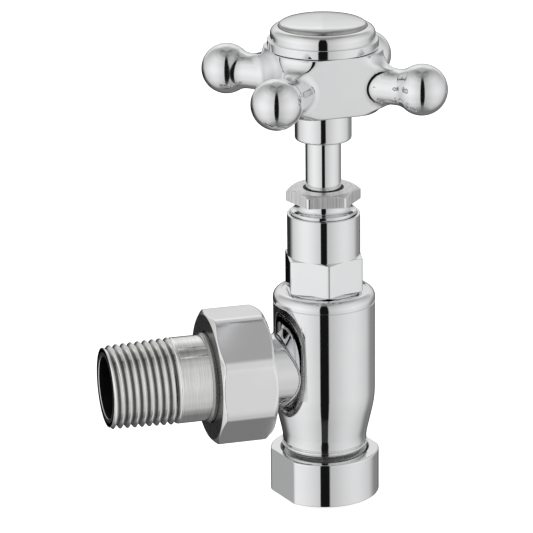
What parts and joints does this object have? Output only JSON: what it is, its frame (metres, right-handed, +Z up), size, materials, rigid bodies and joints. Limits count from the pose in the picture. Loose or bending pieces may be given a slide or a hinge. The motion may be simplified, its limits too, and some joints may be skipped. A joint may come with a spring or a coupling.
{
  "type": "manual radiator valve",
  "caption": "Angled manual radiator valve in bright chrome: crosshead handle on a rising spindle, union nut and threaded tail for the radiator, compression nut for the pipe.",
  "frame": {"origin": "centre of the pipe entry, on the bottom face of the compression nut", "axes": "+Z up the spindle axis towards the handle, -X along the radiator tail towards the radiator"},
  "size_m": [0.081, 0.051, 0.1219],
  "materials": {
    "polished_chrome": "bright chromium plate on polished brass",
    "brushed_chrome": "chromium plate over a brushed surface",
    "turned_nickel": "nickel plate over fine turning marks",
    "plain_brass": "machined brass",
    "olive_brass": "soft turned brass",
    "seat_rubber": "moulded rubber",
    "white_packing": "pressed fluoroplastic ring",
    "red_fibre": "punched fibre sheet",
    "bright_steel": "zinc-plated steel"
  },
  "bodies": {
    "body": {"valve_body": "polished_chrome", "bonnet": "polished_chrome", "bonnet_gasket": "red_fibre", "gland_nut": "brushed_chrome", "gland_packing": "white_packing", "gland_washer": "plain_brass"},
    "valve_disc": {"jumper": "plain_brass", "seat_washer": "seat_rubber", "jumper_nut": "plain_brass"},
    "handle": {"spindle": "polished_chrome", "crosshead_handle": "polished_chrome", "handle_cap": "polished_chrome", "cap_disc": "polished_chrome", "handle_screw": "bright_steel", "spring_washer": "bright_steel"},
    "tail": {"radiator_tail": "turned_nickel", "tail_nose_ring": "seat_rubber"},
    "union": {"union_nut": "polished_chrome"},
    "olive_ring": {"olive": "olive_brass"},
    "pipe_nut": {"compression_nut": "polished_chrome"}
  },
  "joints": [
    {"name": "spindle_lift", "type": "slide", "parent": "body", "child": "valve_disc", "axis": [0, 0, 1], "range_m": [-0.00451, 0]},
    {"name": "handle_turn", "type": "hinge", "parent": "valve_disc", "child": "handle", "pos_m": [0, 0, 0.09], "axis": [0, 0, 1], "range_deg": [-1080, 0]},
    {"name": "tail_slide", "type": "slide", "parent": "body", "child": "tail", "axis": [-1, 0, 0], "range_m": [0, 0.00726]},
    {"name": "union_nut_turn", "type": "hinge", "parent": "tail", "child": "union", "pos_m": [-0.0226, 0, 0.0327], "axis": [-1, 0, 0], "range_deg": [0, 1440]},
    {"name": "olive_slide", "type": "slide", "parent": "body", "child": "olive_ring", "axis": [0, 0, -1], "range_m": [0, 0.00454]},
    {"name": "compression_nut_turn", "type": "hinge", "parent": "olive_ring", "child": "pipe_nut", "pos_m": [0, 0, 0.0056], "axis": [0, 0, -1], "range_deg": [0, 900]}
  ],
  "couplings": [
    {"joint": "spindle_lift", "follows": "handle_turn", "m_per_rad": 0.00023873},
    {"joint": "tail_slide", "follows": "union_nut_turn", "m_per_rad": 0.00028871},
    {"joint": "olive_slide", "follows": "compression_nut_turn", "m_per_rad": 0.00028871}
  ]
}
